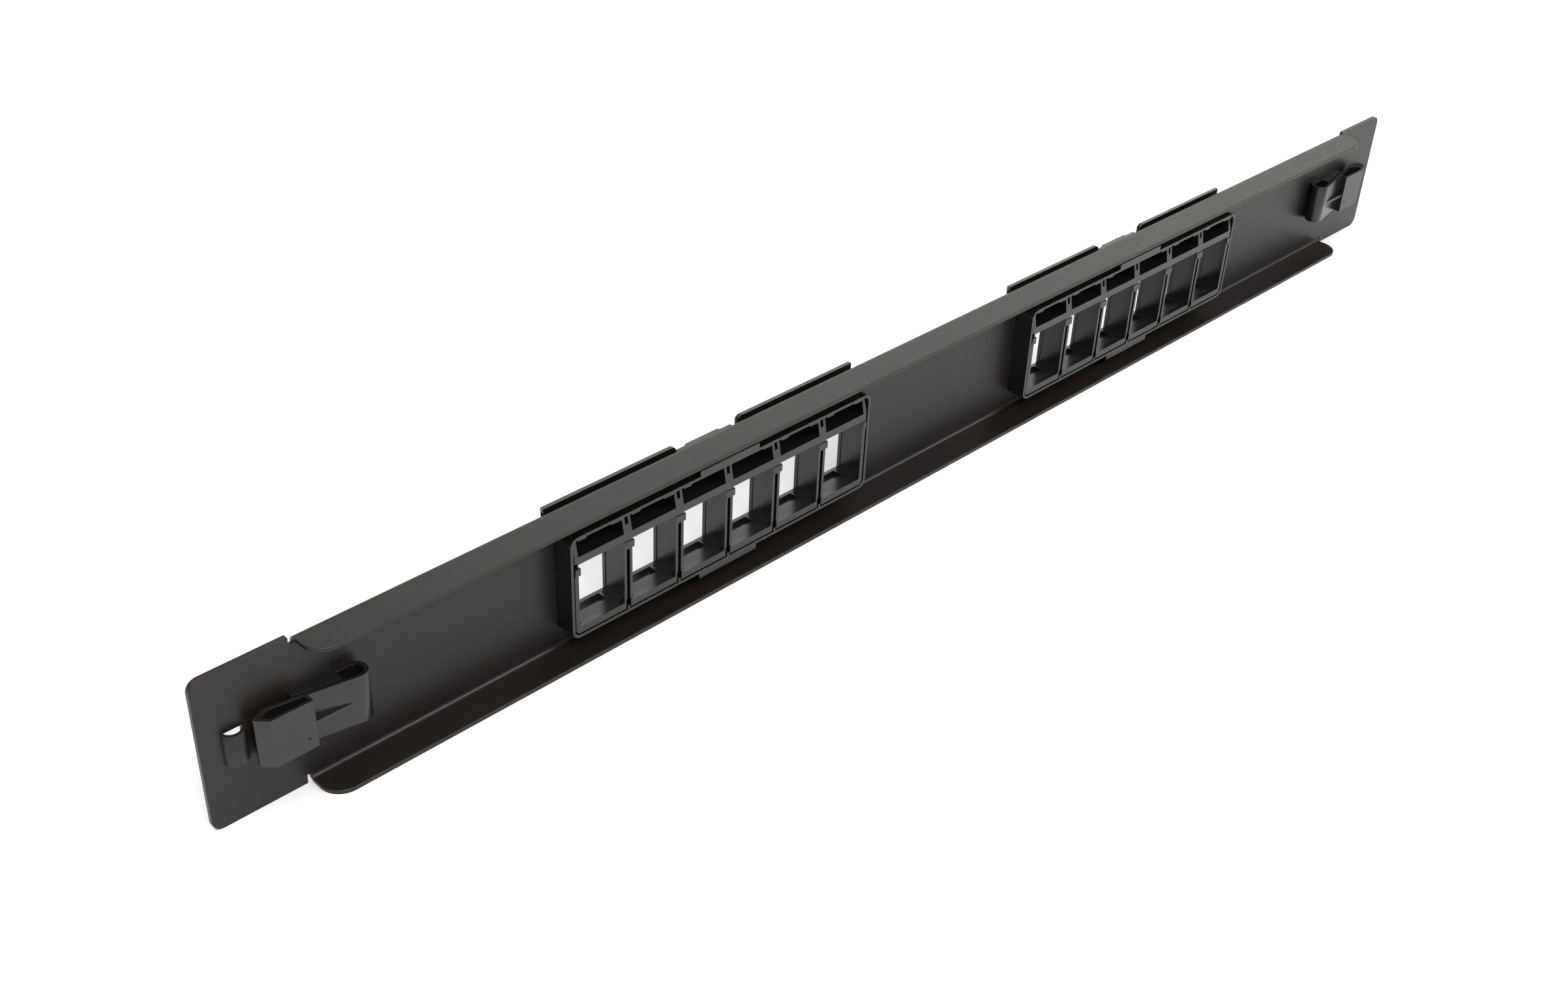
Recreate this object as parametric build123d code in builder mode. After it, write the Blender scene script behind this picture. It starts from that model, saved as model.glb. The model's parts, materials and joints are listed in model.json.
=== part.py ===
from build123d import *
import os
from math import cos, radians, tan

# A one-unit keystone patch panel for a 19 inch rack, held by snap clips instead of screws.
# The origin is the centre of the sheet's rear face, the plane that seats on the rack rails.
# +X is to the right seen from the front, +Y points to the rear and +Z is up. Millimetres.

# Sheet: one folded blank with an ear at each end
panel_length = 482.6
panel_height = 43.7
sheet = 1.2
ear_length = 24.6
ear_corner = 3.0
relief_width = 1.0
relief_depth = 2.5
relief_corner = 0.4
flange_reach = 9.5
flange_corner = 6.0
fold_inside = 1.2
edge_round = 0.2

# Lanced loops that enter the square holes of the rails
loop_from_end = 8.5
loop_width = 6.4
loop_height = 8.8
loop_reach = 2.6
loop_metal = 0.9

# Port modules: two groups of six cells
group_offset = 89.0
cells = 6
pitch = 17.45
cell_width = 14.75
slot_width = 1.0

# Shroud and bezel of a module
shroud_length = 107.0
shroud_height = 31.4
shroud_wall = 0.9
shroud_corner = 2.6
shroud_rear = 6.2
bezel_length = 110.8
bezel_height = 36.4
bezel_thick = 1.8
bezel_corner = 2.5
cutout_play = 0.15
front_window_height = 16.2

# Carrier inside the shroud
carrier_gap = 0.4
carrier_top_gap = 0.2
carrier_corner = 1.4
carrier_rear = 6.0
carrier_front = -1.8
window_top = 7.2
window_bottom = -12.4
bar_top = 9.5
rib_hole_bottom = 11.8
slot_top = 4.5
slot_floor = 1.2
slot_foot_width = 1.6
slot_foot_top = -11.6
rib_lean = 1.0
wall_relief = 0.2
rim_depth = 1.5
pocket_wall = 1.0
pocket_inset = 2.0
pocket_lap = 0.5
lug_reach = 0.5
lug_top = 6.7
lug_height = 2.1
lug_rise = 0.3
end_drop = 0.7
end_notch_width = 0.8
end_notch_height = 1.7
ledge_depth = 1.2
ledge_steps = 3
ledge_run = 0.5
ledge_rise = 0.3
groove_width = 0.12
groove_depth = 0.06
groove_places = (1.9, 2.6, 3.3, 4.0)
recess_reach = 3.0
recess_depth = 1.3
recess_margin = 0.8

# Snap latches above and below each module
latch_width = 19.0
latch_low = 16.0
latch_high = 17.3
latch_rear = 4.3
hook_top = 17.95
hook_length = 2.2
notch_width = 20.6
notch_top = 17.55
wall_notch_low = 14.0
pad_width = 21.0
latch_play = 0.2
latch_plate_width = 20.0
latch_plate_height = 3.9
latch_plate_thick = 0.8
latch_plate_corner = 0.8
latch_plate_gap = 0.6
latch_plate_rise = 0.05
latch_root = 0.5
hook_crest = 0.4
hook_rear = 0.15
tab_width = 12.5
tab_height = 3.8
tab_reach = 0.7
tab_corner = 0.9
tab_middle = 16.5
grip_pitch = 0.95
grip_width = 0.4
grip_depth = 0.35
grip_margin = 1.5

# Stops under a shroud's top wall and pips in the feet of the slots
stop_height = 0.6
long_stop = 4.0
short_stop = 2.7
stop_play = 0.1
pip_width = 0.8
pip_depth = 1.5

# Label holders, each over three ports
holder_length = 43.6
holder_low = 8.2
holder_high = 20.8
holder_front = -4.3
holder_gap = 21.6
slot_back = -3.2
slot_front = -3.9
card_thick = 0.25
window_thick = 0.3
holder_corner = 1.6
holder_end_corner = 0.5
holder_lip = 1.2
view_corner = 0.8
view_margin = 2.5
rim_round = 0.25
insert_play = 0.3
insert_margin = 1.4
card_gap = 0.05
slot_shift = 1.0
view_lip = 0.9

# Snap clips, drawn by the distance from the panel's end
clip_height = 13.6
clip_wall = 1.1
bend_from_end = 38.6
bend_middle = 3.0
bend_radius = 2.95
hook_block_start = 14.7
hook_block_end = 25.7
clip_hole_from_end = 28.6
clip_hole_size = 8.0
neck_size = 7.8
head_size = 9.4
head_corner = 1.2
head_thick = 1.1
head_taper = 20
head_split = 1.0

# Cuts run this far past the faces they leave through, and selectors reach this far
overcut = 1.0
touch = 0.01

half_length = panel_length / 2
half_height = panel_height / 2
channel_half = half_length - ear_length - relief_width
carrier_length = shroud_length - 2 * (shroud_wall + carrier_gap)
carrier_bottom = -shroud_height / 2 + shroud_wall + carrier_gap
carrier_top = shroud_height / 2 - shroud_wall - carrier_top_gap
bezel_front = -sheet - bezel_thick
sides = {"left": -1, "right": 1}

os.makedirs("parts", exist_ok=True)


def facing_front(depth):
    """The plane at y = depth that extrudes towards the front."""
    return Plane.XZ.offset(-depth)


def cell_centres(group):
    """Places of a group's six cells in X."""
    return [group + (i - (cells - 1) / 2) * pitch for i in range(cells)]


def slot_centres(group):
    """Places of the five slots between the cells."""
    return [group + (i - (cells - 2) / 2) * pitch for i in range(cells - 1)]


def write(builder, name):
    """Labels a finished piece and writes its STEP file."""
    builder.part.label = name
    export_step(builder.part, f"parts/{name}.step")


def rectangle_between(x_low, x_high, z_low, z_high, mode=Mode.ADD):
    """A rectangle on the current sketch, given by its sides."""
    with Locations(((x_low + x_high) / 2, (z_low + z_high) / 2)):
        Rectangle(x_high - x_low, z_high - z_low, mode=mode)


def clip_hole(side):
    """Middle of the ear hole that a clip's neck passes through, in X."""
    return side * (half_length - clip_hole_from_end)


def make_panel_sheet():
    """Folded sheet: web with ears, two flanges, module cut-outs, loops and clip holes."""
    with BuildPart() as panel_sheet:
        with BuildSketch(Plane.YZ.offset(-channel_half)) as channel:
            rectangle_between(-sheet, flange_reach, -half_height, half_height)
            rectangle_between(
                0, flange_reach, -half_height + sheet, half_height - sheet, Mode.SUBTRACT
            )
            corners = channel.vertices().group_by(Axis.X)
            fillet(corners[0], radius=fold_inside + sheet)
            inner = channel.vertices().filter_by_position(Axis.X, -touch, touch)
            fillet(inner.filter_by_position(Axis.Y, touch - half_height, half_height - touch), fold_inside)
        extrude(amount=2 * channel_half)
        rims = panel_sheet.edges().filter_by(Axis.Z).group_by(Axis.Y)[-1]
        fillet(rims, radius=flange_corner)
        with BuildSketch(facing_front(0)) as web:
            Rectangle(panel_length, panel_height)
            fillet(web.vertices(), radius=ear_corner)
            for top in (-1, 1):
                with Locations((0, top * half_height)):
                    Rectangle(2 * (channel_half + relief_width), 2 * relief_depth, mode=Mode.SUBTRACT)
            for end in (-1, 1):
                ear_side = end * (channel_half + relief_width)
                beside = web.vertices().filter_by_position(Axis.X, ear_side - touch, ear_side + touch)
                rows = beside.group_by(Axis.Y)
                fillet(rows[0] + rows[-1], radius=relief_corner)
        extrude(amount=sheet)
        with BuildSketch(facing_front(0)):
            for side in sides.values():
                with Locations((side * group_offset, 0)):
                    RectangleRounded(
                        shroud_length + 2 * cutout_play,
                        shroud_height + 2 * cutout_play,
                        shroud_corner + cutout_play,
                    )
                    Rectangle(notch_width, 2 * notch_top)
                with Locations((clip_hole(side), 0)):
                    Rectangle(clip_hole_size, clip_hole_size)
                with Locations((side * (half_length - loop_from_end), 0)):
                    Rectangle(loop_width, loop_height)
        extrude(amount=sheet, mode=Mode.SUBTRACT)
        for side in sides.values():
            middle = side * (half_length - loop_from_end)
            half = loop_width / 2
            inside = half - loop_metal
            with BuildSketch(Plane.XY.offset(-loop_height / 2)):
                with BuildLine():
                    Line((middle - half, -sheet), (middle - half, 0))
                    ThreePointArc((middle - half, 0), (middle, loop_reach), (middle + half, 0))
                    Line((middle + half, 0), (middle + half, -sheet))
                    Line((middle + half, -sheet), (middle + inside, -sheet))
                    ThreePointArc(
                        (middle + inside, -sheet),
                        (middle, loop_reach - loop_metal),
                        (middle - inside, -sheet),
                    )
                    Line((middle - inside, -sheet), (middle - half, -sheet))
                make_face()
            extrude(amount=loop_height)
        long_rims = panel_sheet.edges().filter_by(Axis.X)
        long_rims = long_rims.filter_by_position(Axis.Y, flange_reach - touch, flange_reach + touch)
        fillet(long_rims, radius=edge_round)
    return panel_sheet


def make_port_frame(group):
    """Shroud ring and front bezel of a module, one moulding."""
    with BuildPart() as port_frame:
        with BuildSketch(facing_front(shroud_rear)):
            with Locations((group, 0)):
                RectangleRounded(shroud_length, shroud_height, shroud_corner)
                RectangleRounded(
                    shroud_length - 2 * shroud_wall,
                    shroud_height - 2 * shroud_wall,
                    shroud_corner - shroud_wall,
                    mode=Mode.SUBTRACT,
                )
        extrude(amount=shroud_rear - carrier_front)
        with BuildSketch(facing_front(-sheet)):
            with Locations((group, 0)):
                RectangleRounded(bezel_length, bezel_height, bezel_corner)
                Rectangle(
                    shroud_length - 2 * shroud_wall,
                    shroud_height - 2 * shroud_wall,
                    mode=Mode.SUBTRACT,
                )
        extrude(amount=-sheet - carrier_front)
        with BuildSketch(facing_front(carrier_front)):
            with Locations((group, 0)):
                RectangleRounded(bezel_length, bezel_height, bezel_corner)
            window_roof = window_bottom + front_window_height
            for x in cell_centres(group):
                low = x - cell_width / 2
                rectangle_between(low, low + cell_width, window_bottom, window_roof, Mode.SUBTRACT)
        extrude(amount=carrier_front - bezel_front)
        # Rear pads behind the latches, and the gaps in the walls that the latches move in
        wall_outside = shroud_height / 2
        for top in (-1, 1):
            with BuildSketch(facing_front(shroud_rear)):
                with Locations((group, top * (wall_outside + latch_high) / 2)):
                    Rectangle(pad_width, latch_high - wall_outside)
            extrude(amount=shroud_rear - latch_rear - latch_play)
            wall_notch_high = bezel_height / 2 + overcut
            with BuildSketch(facing_front(latch_rear + latch_play)):
                with Locations((group, top * (wall_notch_low + wall_notch_high) / 2)):
                    Rectangle(notch_width, wall_notch_high - wall_notch_low)
            extrude(amount=latch_rear + latch_play - bezel_front, mode=Mode.SUBTRACT)
        # Stops under the top wall, beside each pair of ribs
        ceiling = shroud_height / 2 - shroud_wall
        with BuildSketch(facing_front(carrier_rear)):
            for x in cell_centres(group):
                low = x - cell_width / 2 + stop_play
                high = x + cell_width / 2 - stop_play
                rectangle_between(low, low + long_stop, ceiling - stop_height, ceiling)
                rectangle_between(high - short_stop, high, ceiling - stop_height, ceiling)
            with Locations((group, ceiling)):
                Rectangle(notch_width, 2 * (stop_height + stop_play), mode=Mode.SUBTRACT)
        extrude(amount=carrier_rear - carrier_front - pocket_wall - stop_play)
        # Pips that enter the open lower ends of the carrier's slots
        pip_low = -shroud_height / 2 + shroud_wall / 2
        with BuildSketch(facing_front(shroud_rear)):
            for x in slot_centres(group):
                rectangle_between(x - pip_width / 2, x + pip_width / 2, pip_low, carrier_bottom + pip_width)
        extrude(amount=pip_depth)
    return port_frame


def make_port_carrier(group):
    """Six keystone cells side by side, with a latch pocket over each."""
    low_end = group - carrier_length / 2
    high_end = group + carrier_length / 2
    with BuildPart() as port_carrier:
        with BuildSketch(facing_front(carrier_rear)) as outline:
            rectangle_between(low_end, high_end, carrier_bottom, carrier_top)
            fillet(outline.vertices(), radius=carrier_corner)
            for x in cell_centres(group):
                low = x - cell_width / 2
                high = x + cell_width / 2
                rectangle_between(low, high, window_bottom, window_top, Mode.SUBTRACT)
                rectangle_between(low, high, bar_top, carrier_top + overcut, Mode.SUBTRACT)
            for x in slot_centres(group):
                half = slot_width / 2
                rectangle_between(x - half, x + half, rib_hole_bottom, carrier_top + overcut, Mode.SUBTRACT)
        extrude(amount=carrier_rear - carrier_front)
        # Slots between the cells, wider at the foot and closed towards the front
        with BuildSketch(facing_front(carrier_rear)):
            for x in slot_centres(group):
                rectangle_between(x - slot_width / 2, x + slot_width / 2, carrier_bottom - overcut, slot_top)
                foot = slot_foot_width / 2
                rectangle_between(x - foot, x + foot, carrier_bottom - overcut, slot_foot_top)
        extrude(amount=carrier_rear - carrier_front - slot_floor, mode=Mode.SUBTRACT)
        # Cell walls are relieved behind their rear rim
        with BuildSketch(facing_front(carrier_rear - rim_depth)):
            for x in cell_centres(group):
                reach = cell_width / 2 + wall_relief
                rectangle_between(x - reach, x + reach, window_bottom + ledge_steps * ledge_rise, window_top)
        extrude(amount=carrier_rear - rim_depth - carrier_front, mode=Mode.SUBTRACT)
        # Rear edges of the ribs lean forward towards the top
        with BuildSketch(Plane.YZ.offset(low_end)):
            with BuildLine():
                Polyline(
                    (carrier_rear, bar_top),
                    (carrier_rear, carrier_top),
                    (carrier_rear - rib_lean, carrier_top),
                    close=True,
                )
            make_face()
        extrude(amount=carrier_length, mode=Mode.SUBTRACT)
        # Front wall of the latch pockets
        with BuildSketch(facing_front(carrier_front + pocket_wall)):
            pocket_end = carrier_length / 2 - pocket_inset
            rectangle_between(group - pocket_end, group + pocket_end, bar_top - pocket_lap, carrier_top)
        extrude(amount=pocket_wall)
        # Stepped ledges along the foot of the cell walls
        with BuildSketch(facing_front(carrier_rear - ledge_depth)):
            for x in cell_centres(group):
                for step in range(ledge_steps):
                    run = ledge_run * (step + 1)
                    top = window_bottom + ledge_rise * (ledge_steps - step)
                    low = x - cell_width / 2 - wall_relief
                    high = x + cell_width / 2 + wall_relief
                    rectangle_between(low, low + run, window_bottom, top)
                    rectangle_between(high - run, high, window_bottom, top)
        extrude(amount=carrier_rear - ledge_depth - carrier_front)
        # Grooves across the floor of each cell
        with BuildSketch(Plane.XY.offset(window_bottom)):
            for x in cell_centres(group):
                clear = cell_width / 2 - ledge_steps * ledge_run
                for y in groove_places:
                    rectangle_between(x - clear, x + clear, y, y + groove_width)
        extrude(amount=-groove_depth, mode=Mode.SUBTRACT)
        # Recess in the front of each floor for a jack's fixed hook
        with BuildSketch(Plane.XY.offset(window_bottom)):
            for x in cell_centres(group):
                low = x - cell_width / 2 + recess_margin + ledge_steps * ledge_run
                high = x + cell_width / 2 - recess_margin
                rectangle_between(low, high, carrier_front, carrier_front + recess_reach)
        extrude(amount=-recess_depth, mode=Mode.SUBTRACT)
        # Raised lugs that hold a jack, on the ribs beside each cell; the one at the high end sits lower
        with BuildSketch(facing_front(carrier_rear + lug_rise)):
            for x in cell_centres(group):
                inner = x + cell_width / 2 - lug_reach
                rib_end = min(x + pitch - cell_width / 2, high_end)
                top = lug_top - end_drop if rib_end == high_end else lug_top
                rectangle_between(inner, rib_end, top - lug_height, top)
            end_rib = cell_centres(group)[0] - cell_width / 2
            rectangle_between(low_end, end_rib, lug_top - lug_height, lug_top)
        extrude(amount=rim_depth + lug_rise)
        # Catch notch above the lug at the high end
        notch_low = lug_top - end_drop
        with BuildSketch(facing_front(carrier_rear)):
            rectangle_between(
                high_end - end_notch_width, high_end + overcut, notch_low, notch_low + end_notch_height
            )
        extrude(amount=rim_depth, mode=Mode.SUBTRACT)
    return port_carrier


def make_snap_latch(group, top):
    """Flexible tongue with a hook behind the sheet and a finger tab in front."""
    plate_rear = bezel_front - latch_plate_gap
    plate_front = plate_rear - latch_plate_thick
    with BuildPart() as snap_latch:
        with BuildSketch(Plane.YZ.offset(group - latch_width / 2)):
            with BuildLine():
                Polyline(
                    (latch_rear, top * latch_low),
                    (latch_rear, top * latch_high),
                    (hook_rear + hook_length, top * latch_high),
                    (hook_rear + hook_crest, top * hook_top),
                    (hook_rear, top * hook_top),
                    (hook_rear, top * latch_high),
                    (plate_front + latch_root, top * latch_high),
                    (plate_front + latch_root, top * latch_low),
                    close=True,
                )
            make_face()
        extrude(amount=latch_width)
        with BuildSketch(facing_front(plate_rear)):
            with Locations((group, top * (tab_middle + latch_plate_rise))):
                RectangleRounded(latch_plate_width, latch_plate_height, latch_plate_corner)
        extrude(amount=latch_plate_thick)
        with BuildSketch(facing_front(plate_front)):
            with Locations((group, top * tab_middle)):
                RectangleRounded(tab_width, tab_height, tab_corner)
        extrude(amount=tab_reach)
        # Grip grooves across the tab
        with BuildSketch(facing_front(plate_front - tab_reach)):
            for step in (-1, 0, 1):
                with Locations((group, top * (tab_middle + step * grip_pitch))):
                    Rectangle(tab_width - 2 * grip_margin, grip_width)
        extrude(amount=-grip_depth, mode=Mode.SUBTRACT)
    return snap_latch


def holder_span(group, outer):
    """Low and high X of a label holder; outer is the side that faces away from the group's middle."""
    near = group + outer * holder_gap / 2
    far = near + outer * holder_length
    return min(near, far), max(near, far)


def make_label_holder(group, outer):
    """Shallow tray for a label card, open at its outer end."""
    low, high = holder_span(group, outer)
    middle_z = (holder_low + holder_high) / 2
    height = holder_high - holder_low
    with BuildPart() as label_holder:
        with BuildSketch(facing_front(bezel_front)) as outline:
            with Locations(((low + high) / 2, middle_z)):
                Rectangle(holder_length, height)
            ends = outline.vertices().group_by(Axis.X)
            closed, opened = (ends[0], ends[-1]) if outer > 0 else (ends[-1], ends[0])
            fillet(closed, radius=holder_corner)
            fillet(opened, radius=holder_end_corner)
        extrude(amount=bezel_front - holder_front)
        with BuildSketch(facing_front(slot_back)):
            with Locations(((low + high) / 2 + outer * slot_shift, middle_z)):
                Rectangle(holder_length, height - 2 * holder_lip)
        extrude(amount=slot_back - slot_front, mode=Mode.SUBTRACT)
        with BuildSketch(facing_front(slot_front)):
            with Locations(((low + high) / 2, middle_z)):
                RectangleRounded(
                    holder_length - 2 * view_margin, height - 2 * (holder_lip + view_lip), view_corner
                )
        extrude(amount=slot_front - holder_front, mode=Mode.SUBTRACT)
        front_rim = label_holder.faces().sort_by(Axis.Y)[0].edges()
        fillet(front_rim, radius=rim_round)
    return label_holder


def make_label_insert(group, outer, rear, thick):
    """A flat strip that lies in a label holder's slot."""
    low, high = holder_span(group, outer)
    height = holder_high - holder_low - 2 * holder_lip - insert_play
    with BuildPart() as insert:
        with BuildSketch(facing_front(rear)):
            with Locations(((low + high) / 2 + outer * insert_play, (holder_low + holder_high) / 2)):
                Rectangle(holder_length - 2 * insert_margin, height)
        extrude(amount=thick)
    return insert


def clip_point(side, from_end, depth):
    """A point of a clip's outline in the XY plane."""
    return (side * (half_length - from_end), depth)


def bend_point(side, radius, degrees):
    """A point on the clip's bend; 0 degrees points inboard and 90 to the rear."""
    turned = Vector(radius, 0).rotate(Axis.Z, degrees)
    return clip_point(side, bend_from_end + turned.X, bend_middle + turned.Y)


def bend_arc(side, radius, start, end):
    """The part of the bend between two angles."""
    return ThreePointArc(
        bend_point(side, radius, start),
        bend_point(side, radius, (start + end) / 2),
        bend_point(side, radius, end),
    )


# The clip's outer leg leans towards the sheet; the bend is split near the sheet, in degrees
leg_lean = 10.6
leg_angle = 90 + leg_lean
split_high = -52
split_low = -64


def leg_depth(from_end, below=0.0):
    """Depth of the outer leg's rear surface, or of a line a given distance under it."""
    lean = radians(leg_lean)
    return bend_middle + bend_radius / cos(lean) - tan(lean) * (bend_from_end - from_end) - below


def make_clip_base(side):
    """Fixed half of a clip: body against the sheet, neck through the ear and snap head."""
    body_start = 22.6
    body_end = 34.6
    foot = 0.05
    body_gap = 0.4
    inner = bend_radius - clip_wall
    below = clip_wall + body_gap
    with BuildPart() as clip_base:
        with BuildSketch(Plane.XY.offset(-clip_height / 2)):
            with BuildLine():
                Polyline(
                    clip_point(side, bend_from_end, foot),
                    clip_point(side, body_start, foot),
                    clip_point(side, body_start, leg_depth(body_start, below)),
                    clip_point(side, body_end, leg_depth(body_end, below)),
                    clip_point(side, body_end, bend_middle - inner),
                    clip_point(side, bend_from_end, bend_middle - inner),
                )
                bend_arc(side, inner, -90, split_low)
                Line(bend_point(side, inner, split_low), bend_point(side, bend_radius, split_low))
                bend_arc(side, bend_radius, split_low, -90)
            make_face()
        extrude(amount=clip_height)
        with BuildSketch(facing_front(foot)):
            with Locations((clip_hole(side), 0)):
                Rectangle(neck_size, neck_size)
        extrude(amount=foot + sheet)
        with BuildSketch(facing_front(-sheet)) as head:
            with Locations((clip_hole(side), 0)):
                RectangleRounded(head_size, head_size, head_corner)
        extrude(amount=head_thick, taper=head_taper)
        with BuildSketch(facing_front(0)):
            with Locations((clip_hole(side), 0)):
                Rectangle(head_split, head_size + 2 * overcut)
        extrude(amount=sheet + head_thick + overcut, mode=Mode.SUBTRACT)
    return clip_base


def make_clip_lever(side):
    """Moving half of a clip: bend, outer leg with its rib, and the hollow hook block."""
    inner = bend_radius - clip_wall
    nose = 12.0
    nose_high = 3.2
    nose_low = 2.6
    block_depth = 5.95
    block_wall = 0.9
    bead = 15.4
    bead_rise = 0.25
    block_front_wall = 0.6
    nose_floor = 0.15
    hollow_rise = 0.2
    rib_tip = 36.4
    rib_root = 0.5
    rib_thick = 1.0
    gate_from_end = 23.5
    gate_height = -3.5
    gate_mark = 0.35
    with BuildPart() as clip_lever:
        with BuildSketch(Plane.XY.offset(-clip_height / 2)):
            with BuildLine():
                bend_arc(side, bend_radius, split_high, leg_angle)
                Polyline(
                    bend_point(side, bend_radius, leg_angle),
                    clip_point(side, hook_block_end, leg_depth(hook_block_end)),
                    clip_point(side, hook_block_end, block_depth),
                    clip_point(side, hook_block_start, block_depth),
                    clip_point(side, nose, nose_high),
                    clip_point(side, nose, nose_low),
                    clip_point(side, bead, leg_depth(bead, clip_wall) + bead_rise),
                    clip_point(side, hook_block_end, leg_depth(hook_block_end, clip_wall)),
                    bend_point(side, inner, leg_angle),
                )
                bend_arc(side, inner, leg_angle, split_high)
                Line(bend_point(side, inner, split_high), bend_point(side, bend_radius, split_high))
            make_face()
        extrude(amount=clip_height)
        # The block is a hollow channel
        with BuildSketch(Plane.XY.offset(-clip_height / 2)):
            with BuildLine():
                Polyline(
                    clip_point(side, hook_block_end - block_wall, leg_depth(hook_block_end - block_wall)),
                    clip_point(side, hook_block_end - block_wall, block_depth - block_wall),
                    clip_point(side, hook_block_start + block_front_wall, block_depth - block_wall),
                    clip_point(side, nose + 2 * block_wall, nose_high + nose_floor),
                    clip_point(side, bead + block_wall, leg_depth(bead + block_wall) + hollow_rise),
                    close=True,
                )
            make_face()
        extrude(amount=clip_height, mode=Mode.SUBTRACT)
        # Rib from the leg to the block
        with BuildSketch(Plane.XY.offset(-rib_thick)):
            with BuildLine():
                Polyline(
                    clip_point(side, hook_block_end - rib_root, leg_depth(hook_block_end) - rib_root),
                    clip_point(side, hook_block_end - rib_root, block_depth - rib_root),
                    clip_point(side, rib_tip, leg_depth(rib_tip)),
                    clip_point(side, rib_tip, leg_depth(rib_tip, rib_root)),
                    close=True,
                )
            make_face()
        extrude(amount=rib_thick)
        # Gate mark of the moulding on the block
        with BuildSketch(facing_front(block_depth)):
            with Locations((side * (half_length - gate_from_end), gate_height)):
                Circle(gate_mark)
        extrude(amount=gate_mark, mode=Mode.SUBTRACT)
    return clip_lever


write(make_panel_sheet(), "panel_sheet")
for side_name, side in sides.items():
    group = side * group_offset
    write(make_port_frame(group), f"port_frame_{side_name}")
    write(make_port_carrier(group), f"port_carrier_{side_name}")
    write(make_snap_latch(group, 1), f"snap_latch_top_{side_name}")
    write(make_snap_latch(group, -1), f"snap_latch_bottom_{side_name}")
    for place, outer in (("a", -1), ("b", 1)):
        write(make_label_holder(group, outer), f"label_holder_{side_name}_{place}")
        card = make_label_insert(group, outer, slot_back - card_gap, card_thick)
        write(card, f"label_card_{side_name}_{place}")
        cover = make_label_insert(group, outer, slot_front + window_thick, window_thick)
        write(cover, f"label_window_{side_name}_{place}")
    write(make_clip_base(side), f"clip_base_{side_name}")
    write(make_clip_lever(side), f"clip_lever_{side_name}")
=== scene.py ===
import bpy
import bmesh
import json
from math import cos, radians, sin
from mathutils import Matrix, Vector


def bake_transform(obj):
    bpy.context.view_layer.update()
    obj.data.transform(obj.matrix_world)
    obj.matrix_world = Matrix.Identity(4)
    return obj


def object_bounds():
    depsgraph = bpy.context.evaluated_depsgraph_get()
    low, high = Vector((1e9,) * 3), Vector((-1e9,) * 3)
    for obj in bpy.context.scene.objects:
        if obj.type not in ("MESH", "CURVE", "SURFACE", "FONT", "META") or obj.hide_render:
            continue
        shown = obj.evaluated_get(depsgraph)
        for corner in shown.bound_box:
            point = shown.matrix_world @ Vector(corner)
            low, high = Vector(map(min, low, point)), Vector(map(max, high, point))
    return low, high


# The looks of a one-unit keystone patch panel, seen from behind and above.
# The frame is the panel's own: +X right from the front, +Y to the rear, +Z up, in metres.

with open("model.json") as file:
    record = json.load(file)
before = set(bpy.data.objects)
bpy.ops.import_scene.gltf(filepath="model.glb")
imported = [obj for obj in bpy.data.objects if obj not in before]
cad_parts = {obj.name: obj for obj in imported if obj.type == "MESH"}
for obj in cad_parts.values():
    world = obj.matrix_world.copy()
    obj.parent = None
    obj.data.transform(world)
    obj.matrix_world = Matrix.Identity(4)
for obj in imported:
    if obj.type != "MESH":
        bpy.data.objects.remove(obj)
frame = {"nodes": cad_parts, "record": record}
cad_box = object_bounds()
MM = 0.001
SIDES = {"left": -1, "right": 1}

# Camera, fitted to the panel's ends, flanges and modules
CAMERA_PLACE = Vector((0.36595, 0.29563, 0.28152))
CAMERA_AZIMUTH = radians(134.22)
CAMERA_ELEVATION = radians(34.48)
CAMERA_ROLL = radians(2.72)
CAMERA_LENS = 42.24

# Clip bends: the film that joins the halves of each, in millimetres and degrees
HALF_LENGTH = 241.3
BEND_FROM_END = 38.6
BEND_DEPTH = 3.0
FILM_INSIDE = 1.87
FILM_OUTSIDE = 2.93
FILM_HALF = 6.79
FILM_START = -69
FILM_END = -47
FILM_STEP = 2

# Width of the rounded edges of each material, and of the thin-walled label holders, in millimetres
EDGE_WIDTHS = {"black_sheet": 0.25, "black_plastic": 0.12, "clip_plastic": 0.25}
HOLDER_EDGE_WIDTH = 0.05
WELD_GAP = 1e-6
FLAT_WITHIN = radians(0.4)
SHARP_FROM = radians(35)

# Noise keeps near its middle, within this range
NOISE_LOW = 0.3
NOISE_HIGH = 0.7

# Colours are linear
SHEET_BLACK = (0.0050, 0.0036, 0.0028, 1)
# Pale colour painted along the sheet's cut edges as a highlight
SHEET_EDGE_HIGHLIGHT = (0.05, 0.046, 0.036, 1)
PLASTIC_BLACK = (0.0034, 0.0034, 0.0030, 1)
CLIP_BLACK = (0.0040, 0.0038, 0.0034, 1)
PAPER_WHITE = (0.80, 0.79, 0.75, 1)
PAPER_FIBRE = (0.62, 0.58, 0.50, 1)
CLEAR_TINT = (0.93, 0.95, 0.95, 1)
FLOOR_WHITE = (0.68, 0.68, 0.68, 1)
FLOOR_REACH = 30.0

# Sky: strength at the horizon and overhead, and the heights between which it fades
SKY_HORIZON = 0.55
SKY_TOP = 0.08
SKY_FADE_LOW = 0.05
SKY_FADE_HIGH = 0.30


# ---------------------------------------------------------------- node helpers


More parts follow.
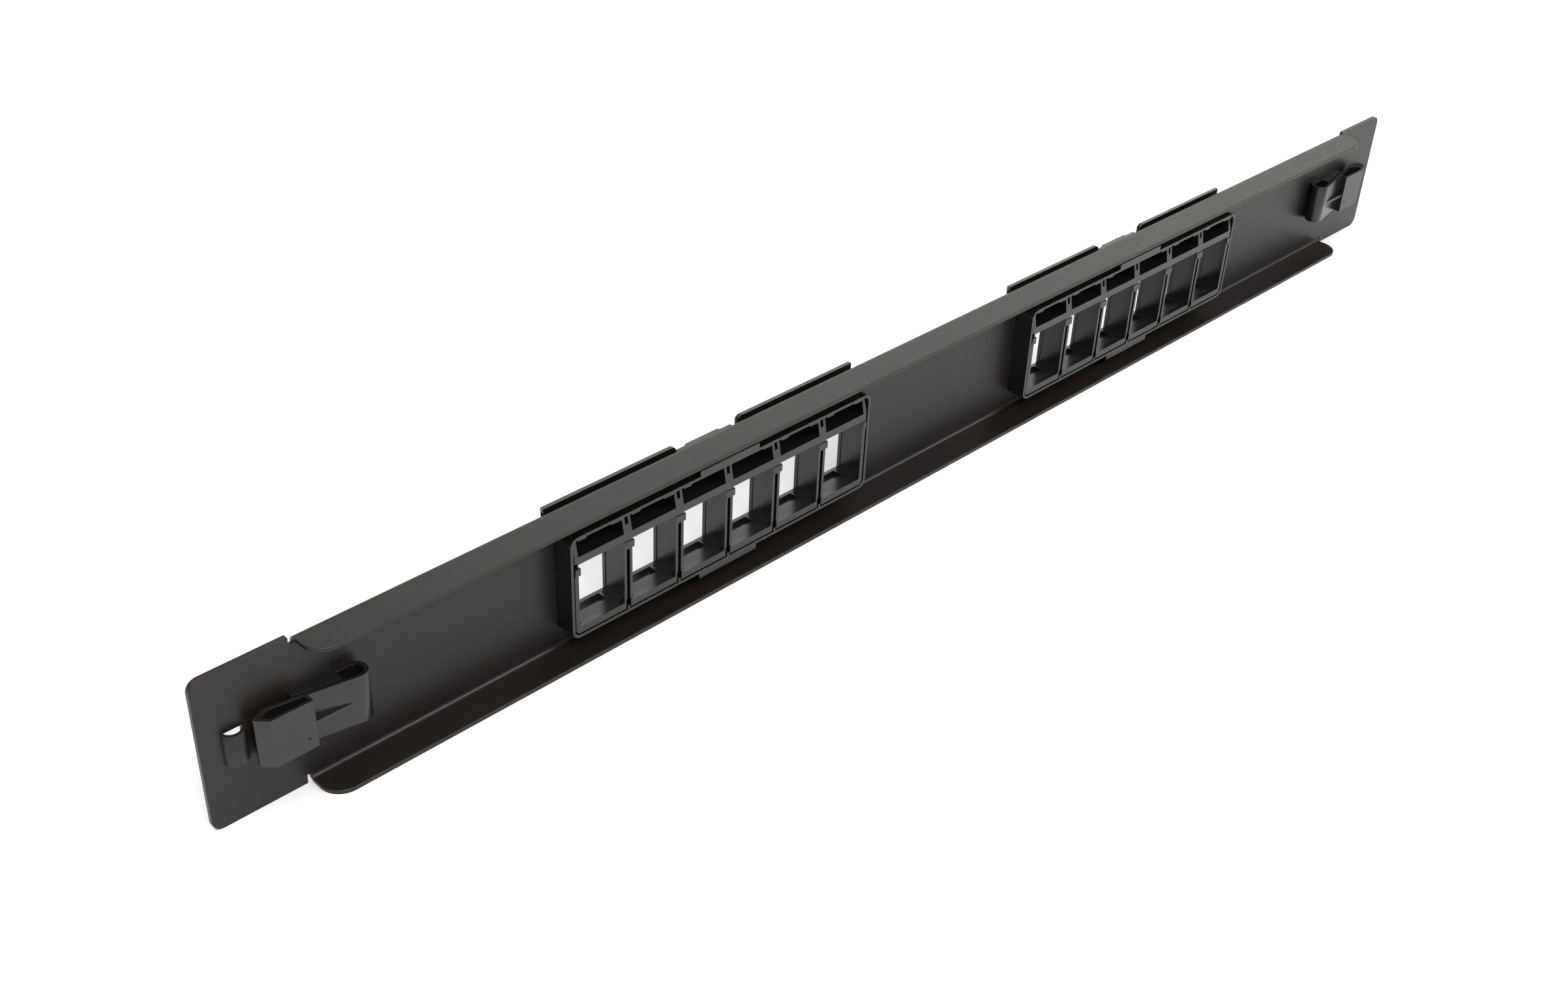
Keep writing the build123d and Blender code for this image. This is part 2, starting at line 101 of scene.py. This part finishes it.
class Shader:
    """A material's node tree with short calls to add and join its nodes."""

    def __init__(self, name):
        self.material = bpy.data.materials.new(name)
        self.material.use_nodes = True
        self.tree = self.material.node_tree
        self.skin = self.tree.nodes["Principled BSDF"]
        self.place = self.add("ShaderNodeTexCoord").outputs["Object"]

    def add(self, kind, inputs=None, **settings):
        """Adds a node; an input is a number, a colour or another node's output."""
        node = self.tree.nodes.new(kind)
        for name, value in settings.items():
            setattr(node, name, value)
        for name, value in (inputs or {}).items():
            if isinstance(value, bpy.types.NodeSocket):
                self.tree.links.new(value, node.inputs[name])
            else:
                node.inputs[name].default_value = value
        return node

    def noise(self, scale, detail=2.0, roughness=0.5, stretch=None):
        """Noise from 0 to 1 over the object's own coordinates, with scale per metre."""
        place = self.place
        if stretch:
            mapping = self.add("ShaderNodeMapping", {"Vector": place, "Scale": stretch})
            place = mapping.outputs["Vector"]
        inputs = {"Vector": place, "Scale": scale, "Detail": detail, "Roughness": roughness}
        return self.add("ShaderNodeTexNoise", inputs).outputs["Fac"]

    def spread(self, value, low, high):
        """Maps noise to the range from low to high."""
        inputs = {"Value": value, "From Min": NOISE_LOW, "From Max": NOISE_HIGH}
        inputs.update({"To Min": low, "To Max": high})
        return self.add("ShaderNodeMapRange", inputs).outputs["Result"]

    def tint(self, colour, factor, other):
        """Mixes two colours by a factor; a Mix node takes colours in sockets 6 and 7 and gives one in 2."""
        node = self.add("ShaderNodeMix", {0: factor}, data_type="RGBA")
        for index, value in ((6, colour), (7, other)):
            if isinstance(value, bpy.types.NodeSocket):
                self.tree.links.new(value, node.inputs[index])
            else:
                node.inputs[index].default_value = value
        return node.outputs[2]

    def edge_highlight_mask(self, radius, sharpness):
        """0 on flat faces and up to 1 along edges, from how far a rounded normal leans; it masks the
        painted highlights along edges.
        """
        soft = self.add("ShaderNodeBevel", {"Radius": radius}, samples=4).outputs["Normal"]
        flat = self.add("ShaderNodeNewGeometry").outputs["Normal"]
        lean = self.add("ShaderNodeVectorMath", {0: soft, 1: flat}, operation="DOT_PRODUCT")
        inputs = {"Value": lean.outputs["Value"], "From Min": 1.0, "From Max": 1.0 - sharpness}
        return self.add("ShaderNodeMapRange", inputs).outputs["Result"]

    def bump(self, height, distance, strength=1.0, under=None):
        """A bump whose height is noise times distance in metres."""
        inputs = {"Height": height, "Distance": distance, "Strength": strength}
        if under:
            inputs["Normal"] = under
        return self.add("ShaderNodeBump", inputs).outputs["Normal"]

    def set(self, **values):
        """Sets or links sockets of the surface shader."""
        for name, value in values.items():
            socket = self.skin.inputs[name.replace("_", " ")]
            if isinstance(value, bpy.types.NodeSocket):
                self.tree.links.new(value, socket)
            else:
                socket.default_value = value


# ---------------------------------------------------------------- materials


def lighter(colour, times):
    """A colour made lighter or darker."""
    return (*(c * times for c in colour[:3]), 1)


def powder_coat():
    """Fine-grained black powder coat, with a pale painted highlight along the cut edges."""
    paint = Shader("powder_coat")
    cloud = paint.spread(paint.noise(38, 3), 0, 1)
    grain = paint.spread(paint.noise(2600, 3, 0.6), 0, 1)
    colour = paint.tint(lighter(SHEET_BLACK, 0.88), cloud, lighter(SHEET_BLACK, 1.12))
    colour = paint.tint(colour, paint.spread(grain, 0, 0.25), lighter(SHEET_BLACK, 1.7))
    # Painted highlight: the cut edges are tinted pale, broken into patches, standing for light caught on
    # their rounded rims
    edge = paint.edge_highlight_mask(0.0004, 0.35)
    patches = paint.spread(paint.noise(420, 3), 0.1, 0.9)
    patchy_highlight = paint.add("ShaderNodeMath", {0: edge, 1: patches}, operation="MULTIPLY")
    colour = paint.tint(colour, patchy_highlight.outputs[0], SHEET_EDGE_HIGHLIGHT)
    orange_peel = paint.bump(paint.noise(1100, 2), 0.000010)
    fine = paint.bump(grain, 0.000010, under=orange_peel)
    rough = paint.spread(paint.noise(700, 3), 0.36, 0.44)
    paint.set(Base_Color=colour, Roughness=rough, Normal=fine, Specular_IOR_Level=0.38)
    return paint.material


def moulded_plastic(name, colour, roughness):
    """Satin black moulding with a spark-eroded grain, faint flow marks and a pale painted highlight along
    the edges.
    """
    plastic = Shader(name)
    flow = plastic.spread(plastic.noise(26, 4, 0.55, stretch=(1, 2.4, 2.4)), 0, 1)
    grain = plastic.noise(3400, 2)
    tone = plastic.tint(lighter(colour, 0.86), flow, lighter(colour, 1.14))
    # Painted highlight: edges are tinted up to three times lighter, standing for light caught on them
    edge = plastic.edge_highlight_mask(0.0003, 0.45)
    tone = plastic.tint(tone, plastic.spread(edge, -0.4, 0.35), lighter(colour, 3.0))
    rough = plastic.spread(plastic.noise(160, 4, 0.65), roughness - 0.04, roughness + 0.04)
    plastic.set(Base_Color=tone, Roughness=rough, Specular_IOR_Level=0.55)
    waves = plastic.bump(plastic.noise(240, 2), 0.00002)
    plastic.set(Normal=plastic.bump(grain, 0.000012, under=waves))
    return plastic.material


def label_paper():
    """Uncoated label card with short fibres."""
    paper = Shader("label_paper")
    fibre = paper.noise(900, 5, 0.7, stretch=(0.35, 1, 1))
    mottle = paper.spread(paper.noise(120, 4), 0, 1)
    tone = paper.tint(lighter(PAPER_WHITE, 0.95), mottle, PAPER_WHITE)
    tone = paper.tint(tone, paper.spread(fibre, 0, 0.12), PAPER_FIBRE)
    paper.set(Base_Color=tone, Roughness=0.85, Normal=paper.bump(fibre, 0.00002))
    return paper.material


def clear_cover():
    """Clear strip over a label, with faint handling haze."""
    clear = Shader("clear_cover")
    haze = clear.spread(clear.noise(70, 5, 0.7), 0.05, 0.20)
    tone = clear.tint(CLEAR_TINT, clear.spread(clear.noise(45, 3), 0, 1), lighter(CLEAR_TINT, 0.96))
    clear.set(Base_Color=tone, Roughness=haze, Transmission_Weight=0.95, IOR=1.49)
    clear.set(Normal=clear.bump(clear.noise(300, 2), 0.000008))
    return clear.material


def floor_paper():
    """Pale seamless studio floor."""
    floor = Shader("floor_paper")
    tone = floor.tint(FLOOR_WHITE, floor.noise(3, 3), lighter(FLOOR_WHITE, 0.985))
    floor.set(Base_Color=tone, Roughness=0.9, Specular_IOR_Level=0.1)
    return floor.material


# ---------------------------------------------------------------- CAD nodes


def soften(node, width):
    """Rounds a CAD node's sharp edges with modifiers, so that they catch the light."""
    node.modifiers.new("weld", "WELD").merge_threshold = WELD_GAP
    dissolve = node.modifiers.new("dissolve", "DECIMATE")
    dissolve.decimate_type = "DISSOLVE"
    dissolve.angle_limit = FLAT_WITHIN
    bevel = node.modifiers.new("bevel", "BEVEL")
    bevel.width = width
    bevel.segments = 2
    bevel.limit_method = "ANGLE"
    bevel.angle_limit = SHARP_FROM
    bevel.use_clamp_overlap = True
    bevel.harden_normals = True


def give(node, material):
    """Puts one material on all of a node's faces."""
    node.data.materials.clear()
    node.data.materials.append(material)
    for face in node.data.polygons:
        face.material_index = 0


def dress_nodes():
    """Gives each carried-over CAD node its material, by the slot that the record states."""
    finishes = {
        "black_sheet": powder_coat(),
        "black_plastic": moulded_plastic("moulded_plastic", PLASTIC_BLACK, 0.24),
        "clip_plastic": moulded_plastic("clip_plastic", CLIP_BLACK, 0.30),
        "label_paper": label_paper(),
        "clear_cover": clear_cover(),
    }
    for part in frame["record"]["subparts"]:
        node = frame["nodes"][part["node"]]
        give(node, finishes[part["material_slot"]])
        if part["node"].startswith("label_holder"):
            soften(node, HOLDER_EDGE_WIDTH * MM)
        elif part["material_slot"] in EDGE_WIDTHS:
            soften(node, EDGE_WIDTHS[part["material_slot"]] * MM)
    return finishes


def film_rings(side):
    """Rectangles across a clip's film, one at each step round the bend, in millimetres."""
    middle = Vector((side * (HALF_LENGTH - BEND_FROM_END), BEND_DEPTH, 0))
    corners = (
        (FILM_INSIDE, -FILM_HALF),
        (FILM_OUTSIDE, -FILM_HALF),
        (FILM_OUTSIDE, FILM_HALF),
        (FILM_INSIDE, FILM_HALF),
    )
    rings = []
    for degrees in range(FILM_START, FILM_END + 1, FILM_STEP):
        out = Vector((-side * cos(radians(degrees)), sin(radians(degrees)), 0))
        rings.append([middle + out * radius + Vector((0, 0, height)) for radius, height in corners])
    return rings


def make_hinge(side_name, side, material):
    """The thin film of plastic that joins the two halves of a clip's bend."""
    rings = film_rings(side)
    around = len(rings[0])
    points = [point * MM for ring in rings for point in ring]
    last_row = around * (len(rings) - 1)
    faces = [tuple(reversed(range(around))), tuple(range(last_row, last_row + around))]
    for row in range(0, last_row, around):
        for i in range(around):
            following = (i + 1) % around
            faces.append((row + i, row + following, row + around + following, row + around + i))
    mesh = bpy.data.meshes.new(f"clip_hinge_{side_name}")
    mesh.from_pydata(points, [], faces)
    mesh.materials.append(material)
    shell = bmesh.new()
    shell.from_mesh(mesh)
    bmesh.ops.recalc_face_normals(shell, faces=shell.faces)
    shell.to_mesh(mesh)
    shell.free()
    for face in mesh.polygons:
        face.use_smooth = True
    mesh.set_sharp_from_angle(angle=SHARP_FROM)
    hinge = bpy.data.objects.new(f"clip_hinge_{side_name}", mesh)
    bpy.context.scene.collection.objects.link(hinge)
    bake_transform(hinge)


# ---------------------------------------------------------------- studio


def make_floor():
    """A wide floor at the height of the panel's underside."""
    low = cad_box[0].z
    mesh = bpy.data.meshes.new("studio_floor")
    signs = ((-1, -1), (1, -1), (1, 1), (-1, 1))
    corners = [(x * FLOOR_REACH, y * FLOOR_REACH, low) for x, y in signs]
    mesh.from_pydata(corners, [], [(0, 1, 2, 3)])
    floor = bpy.data.objects.new("studio_floor", mesh)
    bpy.context.scene.collection.objects.link(floor)
    mesh.materials.append(floor_paper())


def soft_light(name, place, aim, width, height, power, colour=(1, 1, 1)):
    """A rectangular soft box that faces a point."""
    data = bpy.data.lights.new(name, "AREA")
    data.shape = "RECTANGLE"
    data.size = width
    data.size_y = height
    data.energy = power
    data.color = colour
    light = bpy.data.objects.new(name, data)
    light.visible_camera = False
    light.location = place
    light.rotation_euler = (Vector(aim) - Vector(place)).to_track_quat("-Z", "Y").to_euler()
    bpy.context.scene.collection.objects.link(light)


def make_world():
    """Dim fill from above and a pale haze along the horizon."""
    world = bpy.data.worlds.new("studio")
    world.use_nodes = True
    tree = world.node_tree
    background = tree.nodes["Background"]
    background.inputs["Color"].default_value = (1, 1, 1, 1)
    place = tree.nodes.new("ShaderNodeTexCoord")
    split = tree.nodes.new("ShaderNodeSeparateXYZ")
    fade = tree.nodes.new("ShaderNodeMapRange")
    fade.interpolation_type = "SMOOTHSTEP"
    limits = (
        ("From Min", SKY_FADE_LOW),
        ("From Max", SKY_FADE_HIGH),
        ("To Min", SKY_HORIZON),
        ("To Max", SKY_TOP),
    )
    for name, value in limits:
        fade.inputs[name].default_value = value
    tree.links.new(place.outputs["Generated"], split.inputs["Vector"])
    tree.links.new(split.outputs["Z"], fade.inputs["Value"])
    tree.links.new(fade.outputs["Result"], background.inputs["Strength"])
    bpy.context.scene.world = world


def sky_light(direction, spread, strength):
    """Even soft light from above, the same all over the floor."""
    data = bpy.data.lights.new("ceiling", "SUN")
    data.angle = spread
    data.energy = strength
    light = bpy.data.objects.new("ceiling", data)
    light.rotation_euler = (-Vector(direction)).to_track_quat("-Z", "Y").to_euler()
    bpy.context.scene.collection.objects.link(light)


def make_studio():
    """Plain pale surroundings and soft lights."""
    make_floor()
    make_world()
    sky_light((0.08, 0.10, 1.0), radians(60), 2.3)
    soft_light("far", (-1.1, -0.9, 0.85), (0, 0, 0), 1.8, 1.2, 12.5, (1, 0.99, 0.94))
    soft_light("front", (0.6, -1.2, 0.9), (0, -0.2, 0), 1.2, 1.0, 7)
    soft_light("near", (0.42, 0.42, 0.50), (0.2, 0.05, 0), 0.4, 0.4, 5, (1, 0.975, 0.95))
    soft_light("strip", (-0.40, 0.34, 0.34), (-0.40, 0, 0), 1.0, 0.05, 4)


def make_camera():
    """The camera above the panel's rear, looking down its length."""
    back = Vector((
        sin(CAMERA_AZIMUTH) * cos(CAMERA_ELEVATION),
        -cos(CAMERA_AZIMUTH) * cos(CAMERA_ELEVATION),
        sin(CAMERA_ELEVATION),
    ))
    right = (-back).cross(Vector((0, 0, 1))).normalized()
    up = back.cross(right)
    rolled_right = right * cos(CAMERA_ROLL) + up * sin(CAMERA_ROLL)
    rolled_up = up * cos(CAMERA_ROLL) - right * sin(CAMERA_ROLL)
    turn = Matrix((rolled_right, rolled_up, back)).transposed()
    data = bpy.data.cameras.new("camera")
    data.lens = CAMERA_LENS
    data.clip_start = 0.01
    data.clip_end = 50
    camera = bpy.data.objects.new("camera", data)
    camera.matrix_world = Matrix.Translation(CAMERA_PLACE) @ turn.to_4x4()
    bpy.context.scene.collection.objects.link(camera)
    bpy.context.scene.camera = camera


make_camera()
make_studio()
finishes = dress_nodes()
for side_name, side in SIDES.items():
    make_hinge(side_name, side, finishes["clip_plastic"])
bpy.context.scene.view_settings.view_transform = "Standard"
